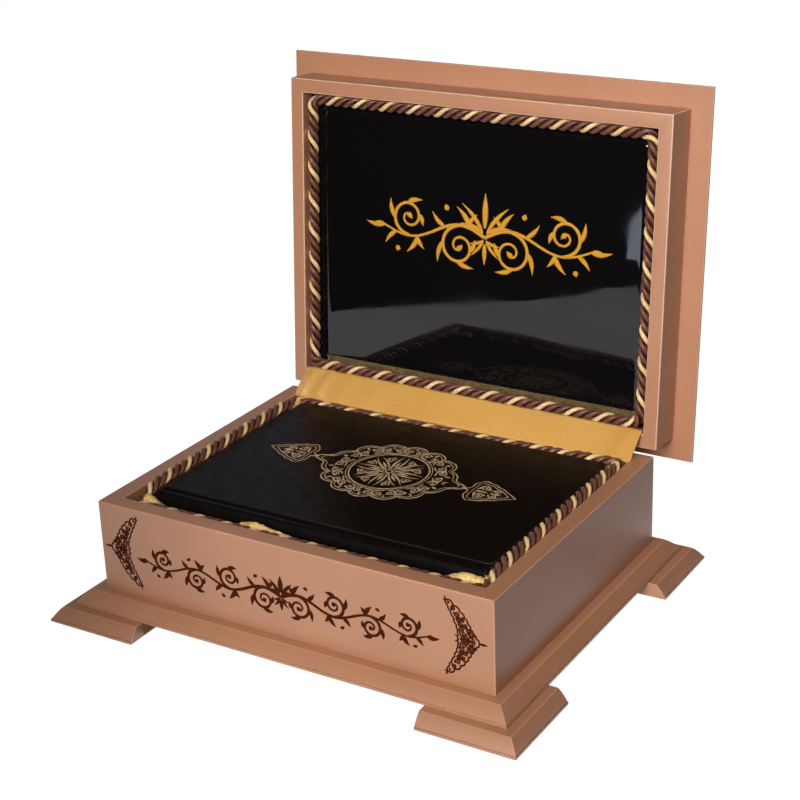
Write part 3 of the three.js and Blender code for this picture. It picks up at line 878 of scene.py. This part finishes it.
film = formed_sheet(film_lo, film_hi, film_hi.z - FILM_BACK)
film_piece = new_piece("formed_clear_film", film, FILM, "lid", ["clear_cover"], OPEN)
thick_sheet(film_piece, "film_thickness", 0.7)
panel = formed_sheet(velvet_lo + PANEL_INSET, velvet_hi - PANEL_INSET, film_hi.z + PANEL_DROP, 60, 50)
panel_piece = new_piece("padded_velvet_panel", panel, VELVET, "lid", ["velvet_panel"], OPEN)
thick_sheet(panel_piece, "panel_thickness", 2.5)

# Gold tape that closes the gap between the pad and the cord, above the hinges
TAPE_HALF = 124 * MM
TAPE_COLUMNS, TAPE_STEPS = 240, 24
TAPE_UNDER = 7.2 * MM
TAPE_REACH = 2.2 * MM
TAPE_GLUED = 0.2  # the share of the width that lies flat
TAPE_LIFT, CREASE, CREASE_LENGTH = 0.25 * MM, 0.35 * MM, 6 * MM
tape = flat_grid(TAPE_COLUMNS, TAPE_STEPS)
film_half = (film_hi - film_lo) / 2
tape_edge = film_half.y - FLANGE
for vert in tape.verts:
    x = 2 * TAPE_HALF * vert.co.x + PAD_SHIFT
    share = vert.co.y + 0.5
    y = tape_edge + TAPE_UNDER - (TAPE_UNDER + TAPE_REACH) * share
    crease = CREASE * noise.noise(Vector((x / CREASE_LENGTH, share, 4.0))) * sin(pi * share)
    risen = max(share - TAPE_GLUED, 0) / (1 - TAPE_GLUED)
    stand = risen * pad_height(x, tape_edge - TAPE_REACH, film_half.x, film_half.y)
    vert.co = (x, y + (film_lo.y + film_hi.y) / 2, film_hi.z - FILM_BACK - stand - TAPE_LIFT + crease)
face_outwards(tape)
tape_piece = new_piece("tucked_gold_tape", tape, TAPE_SATIN, "lid", place=OPEN)
thick_sheet(tape_piece, "tape_thickness", 0.2)

# Ornament: strokes drawn flat in millimetres, each a list of points, their widths, and whether it closes
def mirrored(strokes, x=False, y=False):
    signs = (-1 if x else 1, -1 if y else 1)
    return [([(a * signs[0], b * signs[1]) for a, b in points], widths, loop)
            for points, widths, loop in strokes]


def moved_by(strokes, dx, dy, angle=0, size=1):
    turn = radians(angle)
    return [([(dx + size * (a * cos(turn) - b * sin(turn)), dy + size * (a * sin(turn) + b * cos(turn)))
              for a, b in points], [w * size for w in widths], loop) for points, widths, loop in strokes]


def even_stroke(points, width, loop=False):
    return (points, [width] * len(points), loop)


def arc(x, y, radius, first, last, steps=12):
    return [(x + radius * cos(radians(first + (last - first) * i / steps)),
             y + radius * sin(radians(first + (last - first) * i / steps))) for i in range(steps + 1)]


LEAF = ((0, 0.35), (0.2, 0.85), (0.45, 1.0), (0.7, 0.7), (0.88, 0.32), (1.0, 0.06))


def leaf(x, y, angle, length, width, bend=0.0):
    """A leaf: narrow at its foot, full in the middle and drawn out to a tip that bends to the left."""
    points = [(length * s, bend * length * s * s) for s, _ in LEAF]
    return moved_by([(points, [width * w for _, w in LEAF], False)], x, y, angle)[0]


def volute(x, y, radius, first, turns, width, hand=1, leaves=(), steps=24):
    """A tendril that curls in to a bud, with leaves that sweep off its outside the way it runs."""
    def at(share):
        angle = radians(first) + hand * 2 * pi * turns * share
        reach = radius * (1 - 0.78 * share)
        return x + reach * cos(angle), y + reach * sin(angle), degrees(angle)

    strokes = [([at(i / steps)[:2] for i in range(steps + 1)],
                [width * (1 - 0.4 * i / steps) for i in range(steps + 1)], False)]
    bud_x, bud_y, angle = at(1)
    strokes.append(leaf(bud_x, bud_y, angle + 150 * hand, 0.40 * radius, width * 1.6, 0.3 * hand))
    for share, length in leaves:
        leaf_x, leaf_y, angle = at(share)
        strokes.append(leaf(leaf_x, leaf_y, angle + 62 * hand, length * radius, width * 1.5, 0.42 * hand))
    return strokes


def draw(name, strokes, thickness):
    """Turns strokes in millimetres into one flat mesh in metres, its face towards +Z."""
    curve = bpy.data.curves.new(name, "CURVE")
    curve.dimensions = "3D"
    curve.bevel_depth = 1.0
    curve.bevel_resolution = 1
    curve.resolution_u = 3
    curve.use_fill_caps = True
    for points, widths, loop in strokes:
        spline = curve.splines.new("NURBS")
        spline.points.add(len(points) - 1)
        for knot, (x, y), width in zip(spline.points, points, widths):
            knot.co = (x, y, 0, 1)
            knot.radius = width / 2
        spline.order_u = min(4, len(points))
        spline.use_endpoint_u = not loop
        spline.use_cyclic_u = loop
    pen = shown(name, curve)
    bpy.context.view_layer.update()
    mesh = bpy.data.meshes.new_from_object(pen.evaluated_get(bpy.context.evaluated_depsgraph_get()))
    bpy.data.objects.remove(pen)
    widest = max(max(widths) for _, widths, _ in strokes)
    mesh.transform(Matrix.Diagonal((MM, MM, MM * thickness / widest, 1)))
    return mesh


def scroll_half(half, waves, swing, curl, stem):
    """The right half of a running scroll: a waving stem, with a volute and leaves in each wave."""
    def rise(x):
        return swing * sin(pi * x * waves / half) * (1 - 0.25 * x / half)

    strokes = [([(half * i / 48, rise(half * i / 48)) for i in range(49)],
                [stem * (1.05 - 0.5 * i / 48) for i in range(49)], False)]
    for wave in range(waves):
        up = 1 if wave % 2 == 0 else -1
        x = half / waves * (wave + 0.5)
        size = curl * (1 - 0.2 * wave / waves)
        crest = rise(x)
        leaves = ((0.16, 0.95), (0.34, 0.85), (0.5, 0.6))
        strokes += volute(x, crest - up * size, size, 90 * up, 1.4, stem, -up, leaves)
        strokes.append(leaf(x - 0.55 * size, rise(x - 0.55 * size), up * 78, 1.05 * size, stem * 1.6, -0.45 * up))
        strokes.append(leaf(x - 0.45 * size, rise(x - 0.45 * size), up * 104, 0.75 * size, stem * 1.4, 0.4 * up))
        strokes.append(leaf(x + 0.75 * size, rise(x + 0.75 * size), up * 18, 0.85 * size, stem * 1.4, 0.5 * up))
        strokes.append(leaf(x + 0.62 * size, crest + up * 0.62 * size, up * 68, 0.30 * size, stem * 1.7))
    strokes.append(leaf(half, rise(half), -22, 0.9 * curl, stem * 1.5, 0.5))
    strokes.append(leaf(half, rise(half), 20, 0.6 * curl, stem * 1.3, -0.4))
    return strokes


def palmette(height, stem):
    """An upright flower: a middle petal between two bent pairs that spring from one foot."""
    strokes = [leaf(0, 0.22 * height, 90, 0.78 * height, stem * 1.9)]
    for lean, length, bend in ((66, 0.78, 0.30), (40, 0.55, 0.45)):
        for side in (1, -1):
            strokes.append(leaf(0.05 * side * height, 0.10 * height, 90 - side * (90 - lean), length * height,
                                stem * 1.35, -bend * side))
    return strokes


def scroll_band(half, waves, swing, curl, stem, flower):
    right = scroll_half(half, waves, swing, curl, stem)
    upper, lower = palmette(flower, stem), palmette(0.62 * flower, 0.75 * stem)
    return right + mirrored(right, x=True) + upper + mirrored(lower, y=True)


LACE_OUTSIDE = ((22.6, 0), (19.6, 4.2), (16.6, 8.2), (13.6, 13.6), (9.0, 18.8), (1.2, 23.6))
LACE_INSIDE = ((9.0, 0), (9.4, 3.8), (8.6, 8.0), (6.2, 14.0), (3.4, 18.6), (1.2, 23.6))


def along_line(points, share):
    """The point at a share of the way along a list of points."""
    at = min(share, 0.9999) * (len(points) - 1)
    (x0, y0), (x1, y1) = points[int(at)], points[int(at) + 1]
    return x0 + (x1 - x0) * (at % 1), y0 + (y1 - y0) * (at % 1)


def corner_lace():
    """An openwork corner bracket: two arms of curls between scalloped edges, its point towards +X."""
    half = []
    for edge, scallops, swell in ((LACE_OUTSIDE, 8, 0.42), (LACE_INSIDE, 7, -0.3)):
        for i in range(scallops):
            (x0, y0), (x1, y1) = along_line(edge, i / scallops), along_line(edge, (i + 1) / scallops)
            out_x, out_y = (y1 - y0) * swell, (x0 - x1) * swell
            half.append(even_stroke([(x0, y0), (0.8 * x0 + 0.2 * x1 + out_x, 0.8 * y0 + 0.2 * y1 + out_y),
                                     (0.2 * x0 + 0.8 * x1 + out_x, 0.2 * y0 + 0.8 * y1 + out_y), (x1, y1)], 1.2))
    rows = 8
    for row in range(rows):
        inside, outside = along_line(LACE_INSIDE, (row + 0.5) / rows), along_line(LACE_OUTSIDE, (row + 0.5) / rows)
        wide = hypot(outside[0] - inside[0], outside[1] - inside[1])
        for place in ((0.28, 0.74) if wide > 7.4 else (0.5,)):
            x, y = (a + (b - a) * place for a, b in zip(inside, outside))
            hand = 1 if (row + (place > 0.5)) % 2 else -1
            size = 0.235 * wide if wide > 7.4 else 0.33 * wide
            half += volute(x, y, size, 60 + 90 * row, 1.3, 1.25, hand, ((0.25, 0.9),), 12)
    half += [leaf(1.4, 23.2, lean, length, 1.4) for lean, length in ((112, 3.6), (168, 2.4))]
    half.append(leaf(9.0, 1.0, 150, 3.0, 1.2))
    point = [leaf(22.6, 0, 0, 6.0, 2.0), leaf(20.5, 0, 180, 6.5, 1.6), leaf(9.4, 0, 0, 4.2, 1.4)]
    return half + mirrored(half, y=True) + point


def lobed(long_half, short_half, lobes, depth, tip, size=1.0, steps=12):
    """A scalloped oval with a drawn-out point at each end."""
    points = []
    for i in range(lobes * steps):
        angle = 2 * pi * i / (lobes * steps)
        reach = size / sqrt((cos(angle) / long_half) ** 2 + (sin(angle) / short_half) ** 2)
        scallop = 1 - depth + depth * abs(sin(lobes * angle / 2)) ** 0.7
        nearest = min(angle, abs(angle - pi), 2 * pi - angle)
        point = exp(-(nearest / 0.085) ** 2)
        reach = reach * (scallop + depth * point) + tip * point
        points.append((reach * cos(angle), reach * sin(angle)))
    return points


RING = 27.0
LOBES = 14


def medallion():
    """A lobed medallion with a rosette in a double ring, and a pendant at each end."""
    strokes = [even_stroke(lobed(47.5, 42, LOBES, 0.11, 10), 1.0, True),
               even_stroke(lobed(47.5, 42, LOBES, 0.11, 8, 0.945), 0.6, True),
               even_stroke(arc(0, 0, RING, 0, 355, 71), 1.1, True),
               even_stroke(arc(0, 0, RING + 2.0, 0, 355, 71), 0.6, True)]
    for i in range(LOBES):
        angle = 360 * (i + 0.5) / LOBES
        edge = 0.9 / sqrt((cos(radians(angle)) / 47.5) ** 2 + (sin(radians(angle)) / 42) ** 2)
        out, size = (RING + 2 + edge) / 2, min((edge - RING - 2) / 8.8, 1.15)
        unit = (volute(-0.2, 3.9, 3.7, 200, 1.4, 1.0, -1, ((0.18, 0.75), (0.42, 0.6)), 18)
                + volute(-0.4, -3.9, 3.4, 160, 1.4, 0.95, 1, ((0.2, 0.75), (0.45, 0.6)), 18)
                + [leaf(2.6, 0, 0, 3.6, 1.6), leaf(3.2, -7.0, -10, 3.0, 1.3, 0.3), leaf(-3.6, 0.2, 90, 3.0, 1.0)])
        strokes += moved_by(mirrored(unit, y=bool(i % 2)), out * cos(radians(angle)), out * sin(radians(angle)),
                            angle, size)
    for i in range(8):
        petal = [leaf(3.4, 0.8, 24, 19.5, 1.7, -0.40), leaf(3.4, -0.8, -24, 19.5, 1.7, 0.40),
                 leaf(7, 0, 0, 9, 2.0)]
        strokes += moved_by(petal, 0, 0, 45 * i)
        between = volute(18.6, 0, 3.4, 180, 1.3, 1.0, 1 if i % 2 else -1, ((0.2, 0.7), (0.4, 0.7)), 16)
        strokes += moved_by(between, 0, 0, 45 * i + 22.5)
    strokes.append(even_stroke(arc(0, 0, 2.4, 0, 330), 1.1, True))
    pendant = [
        even_stroke([(55.5, 0), (58, 1.3), (60.5, 0.9), (61.5, 4.0), (60.2, 8.0), (62.6, 12.2), (66.5, 16.4),
                     (70.0, 13.0), (74.6, 13.6), (77.6, 9.6), (82, 9.4), (85.5, 5.4), (89.5, 3.6), (94.5, 0)], 0.85),
        even_stroke([(63.4, 0), (63.8, 5.0), (63.2, 9.0), (66.4, 13.0), (70.0, 10.6), (74.0, 11.0), (77.4, 7.2),
                     (81.6, 6.6), (85.5, 3.0), (89.5, 0)], 0.6),
        leaf(65.6, 1.6, 78, 9.4, 1.7, -0.2), leaf(75.6, 2.2, 62, 6.0, 1.4, -0.2),
    ] + volute(70.8, 6.0, 3.5, 180, 1.4, 1.0, 1, ((0.25, 0.8), (0.5, 0.6)), 16) + volute(
        79.6, 3.6, 2.6, 90, 1.3, 0.9, -1, ((0.3, 0.8),), 16)
    middle = [leaf(65.5, 0, 0, 9, 2.2), leaf(76, 0, 0, 8.5, 1.9), leaf(55, 0, 0, 4.4, 1.7)]
    end = pendant + mirrored(pendant, y=True) + middle
    return strokes + end + mirrored(end, x=True)


def on_front(x, z, flip=False):
    """Places a drawing on the outside of the front wall, read from the front."""
    face = Vector((x * MM, BODY_LO.y, z * MM))
    return Matrix.Translation(face) @ Matrix.Rotation(radians(90), 4, "X") @ Matrix.Diagonal(
        (-1 if flip else 1, 1, 1, 1))


# Thicknesses and places in millimetres
ENGRAVED, STAMPED, STITCHED = 0.10, 0.12, 0.5
BAND_X, BAND_Z = -4, 47
LACE_X, LACE_SHIFT, LACE_Z = 112.9, -0.9, 51.4
MEDALLION_X, MEDALLION_Y = -2, -0.8
front_band = draw("engraved_scroll_band", scroll_band(104, 4, 4.2, 8.4, 2.2, 15), ENGRAVED)
new_piece("engraved_scroll_band", front_band, ENGRAVING, "box", place=on_front(BAND_X, BAND_Z))
for side, flip in (("left", True), ("right", False)):
    lace = draw("engraved_" + side + "_corner_lace", corner_lace(), ENGRAVED)
    new_piece("engraved_" + side + "_corner_lace", lace, ENGRAVING, "box",
              place=on_front(LACE_SHIFT + (-LACE_X if flip else LACE_X), LACE_Z, flip))

tooling = draw("stamped_medallion", medallion(), STAMPED)
medallion_place = Matrix.Translation(Vector((MEDALLION_X * MM, MEDALLION_Y * MM, book_hi.z)))
new_piece("stamped_medallion", tooling, FOIL, "box", place=medallion_place)

EMBROIDERY_X = 9.5 * MM
EMBROIDERY_RISE = 126.5 * MM
PAD_Y = (film_lo.y + film_hi.y) / 2


def stitch_down(mesh, x, rise):
    """Lays a flat drawing on the pad's face, in the lid's closed place, its top towards the front edge."""
    half_x, half_y = (film_hi.x - film_lo.x) / 2, (film_hi.y - film_lo.y) / 2
    for vert in mesh.vertices:
        px, py = vert.co.x + x, BODY_HI.y - rise - vert.co.y
        vert.co = (px, py, film_hi.z - FILM_BACK - pad_height(px, py - PAD_Y, half_x, half_y) - vert.co.z)
    mesh.flip_normals()
    return mesh


motif = draw("embroidered_scroll", scroll_band(80, 2, 7.0, 15, 2.9, 31), STITCHED)
new_piece("embroidered_scroll", stitch_down(motif, EMBROIDERY_X, EMBROIDERY_RISE), STITCHES, "lid",
          place=OPEN)

# Camera, solved from the photograph
CAMERA_PLACE = Vector((0.57596, -0.91412, 0.57350))
CAMERA_HEADING = radians(31.85)
CAMERA_DOWN = radians(22.25)
CAMERA_ROLL = radians(-2.11)
camera_data = bpy.data.cameras.new("camera")
camera_data.sensor_width = 36
camera_data.lens = 80.68
camera_data.clip_start = 0.01
camera = shown("camera", camera_data)
camera.matrix_world = (Matrix.Translation(CAMERA_PLACE) @ Matrix.Rotation(CAMERA_HEADING, 4, "Z")
                       @ Matrix.Rotation(pi / 2 - CAMERA_DOWN, 4, "X") @ Matrix.Rotation(CAMERA_ROLL, 4, "Z"))
bpy.context.scene.camera = camera

# White floor and surroundings
def seen_ray(tree):
    """1 for the rays that see the background: the camera's, and those in gloss and glass."""
    path = add(tree, "LightPath").node.outputs
    either = add(tree, "Math", {0: path["Is Camera Ray"], 1: path["Is Glossy Ray"]}, operation="MAXIMUM")
    return add(tree, "Math", {0: either, 1: path["Is Transmission Ray"]}, operation="MAXIMUM")


def stage_piece(name, bm, colour, roughness):
    """A piece of the studio, with a plain matt surface."""
    material, tree, surface = plain(name, colour, Roughness=roughness)
    mesh = bpy.data.meshes.new(name)
    bm.to_mesh(mesh)
    bm.free()
    mesh.materials.append(material)
    piece = shown(name, mesh)
    return piece, tree, surface


paper = bmesh.new()
bmesh.ops.create_grid(paper, x_segments=1, y_segments=1, size=12)
_, floor_tree, floor_surface = stage_piece("white_floor", paper, "#8C8C8C", 0.9)
floor_surface.inputs["Specular IOR Level"].default_value = 0.0
floor_surface.inputs["Emission Color"].default_value = (1, 1, 1, 1)
glow = add(floor_tree, "Math", {0: seen_ray(floor_tree), 1: 0.975}, operation="MULTIPLY")
floor_tree.links.new(glow, floor_surface.inputs["Emission Strength"])

world = bpy.data.worlds.new("studio")
world.use_nodes = True
bpy.context.scene.world = world
background = world.node_tree.nodes["Background"]
background.inputs["Color"].default_value = (1, 1, 1, 1)
strength = add(world.node_tree, "MapRange", {0: seen_ray(world.node_tree), 3: 0.055, 4: 1.0})
world.node_tree.links.new(strength, background.inputs["Strength"])


def softbox(name, place, target, width, height, power, spread=180):
    """A soft lamp. A spread below 180 is a softbox with a grid, which keeps its light in a cone."""
    lamp = bpy.data.lights.new(name, "AREA")
    lamp.shape = "RECTANGLE"
    lamp.size = width
    lamp.size_y = height
    lamp.energy = power
    lamp.spread = radians(spread)
    lamp_object = shown(name, lamp)
    aim = (target - place).to_track_quat("-Z", "Y").to_matrix().to_4x4()
    lamp_object.matrix_world = Matrix.Translation(place) @ aim
    return lamp_object


softbox("key_softbox", Vector((0.36, -1.5, 0.88)), Vector((0.12, -0.02, 0.33)), 0.7, 0.7, 4.45, 56)
top = softbox("top_softbox", Vector((0.3, -0.3, 1.6)), Vector((0.05, -0.03, 0.1)), 1.1, 0.9, 4.0)
top.visible_glossy = False
back = softbox("back_softbox", Vector((-0.25, 1.7, 0.75)), Vector((0, 0.1, 0.15)), 0.9, 0.7, 2.6)
back.visible_glossy = False


def flat_card(outline):
    """A flat card from the points round its edge."""
    bm = bmesh.new()
    bm.faces.new([bm.verts.new(point) for point in outline])
    return bm


def wall_card(x0, x1, y, z0, z1):
    return flat_card([(x0, y, z0), (x1, y, z0), (x1, y, z1), (x0, y, z1)])


def level_card(x0, x1, y0, y1, z):
    return flat_card([(x0, y0, z), (x1, y0, z), (x1, y1, z), (x0, y1, z)])


# A black flag between the key and the box, which leaves the front's left end in softer light
flag = stage_piece("black_flag", wall_card(-0.6, -0.02, -0.54, 0, 0.33), "#050505", 1.0)[0]
for ray in ("camera", "glossy", "diffuse", "transmission"):
    setattr(flag, "visible_" + ray, False)

# Cards that only reflections see: the film and the leather mirror the dark studio beyond a white table,
# and at one side of the film the edge of a round softbox
TABLE_EDGE = ((-3.0, -0.30), (-0.467, -0.405), (-0.375, -0.475), (-0.30, -0.60), (-0.262, -0.77), (-0.20, -0.82),
              (1.2, -0.86))
BEYOND, CEILING, ROUND = 2.4, 1.5, 0.035
dark_floor = flat_card([(x, y, 0.002) for x, y in TABLE_EDGE] + [(1.2, -BEYOND, 0.002), (-3.0, -BEYOND, 0.002)])
dark_wall = wall_card(-3.0, 1.2, -BEYOND, 0, CEILING)
dark_ceiling = level_card(-3.0, 2.0, -BEYOND, 1.2, CEILING)
dim_left = wall_card(-2.6, -0.66, 1.2, 0.05, CEILING)
dark_back = wall_card(-0.66, 2.0, 1.2, 0.05, CEILING)
# Under the box, a dark card as painted shade in what the feet's lacquer mirrors
dark_under = level_card(-0.15, 0.15, -0.14, 0.11, 0.001)
grey_floor = flat_card([(0.177, -0.12, 0.001), (1.5, -0.3, 0.001), (1.5, 1.2, 0.001), (0.177, 1.2, 0.001)])
glow_left, glow_right, glow_low, glow_high = -0.3075, -0.11, 0.012, 0.084
round_softbox = flat_card([(glow_right, -0.95, glow_low), (glow_left, -0.95, glow_low)]
                          + [(glow_left + ROUND * (1 - cos(a)), -0.95, glow_high - ROUND * (1 - sin(a)))
                             for a in (pi / 16 * i for i in range(9))] + [(glow_right, -0.95, glow_high)])
for name, shape, glow_level in (
        ("dark_floor_card", dark_floor, 0), ("dark_wall_card", dark_wall, 0), ("dark_under_card", dark_under, 0),
        ("dark_ceiling_card", dark_ceiling, 0), ("dim_left_card", dim_left, 0.34),
        ("dark_back_card", dark_back, 0.05), ("grey_floor_card", grey_floor, 0.5),
        ("round_softbox_card", round_softbox, 3.8)):
    card, _, surface = stage_piece(name, shape, "#020202", 1.0)
    surface.inputs["Specular IOR Level"].default_value = 0.0
    surface.inputs["Emission Color"].default_value = linear("#DDE4F5")
    surface.inputs["Emission Strength"].default_value = glow_level
    for ray in ("camera", "diffuse", "shadow", "transmission"):
        setattr(card, "visible_" + ray, False)

bpy.context.scene.view_settings.view_transform = "Standard"
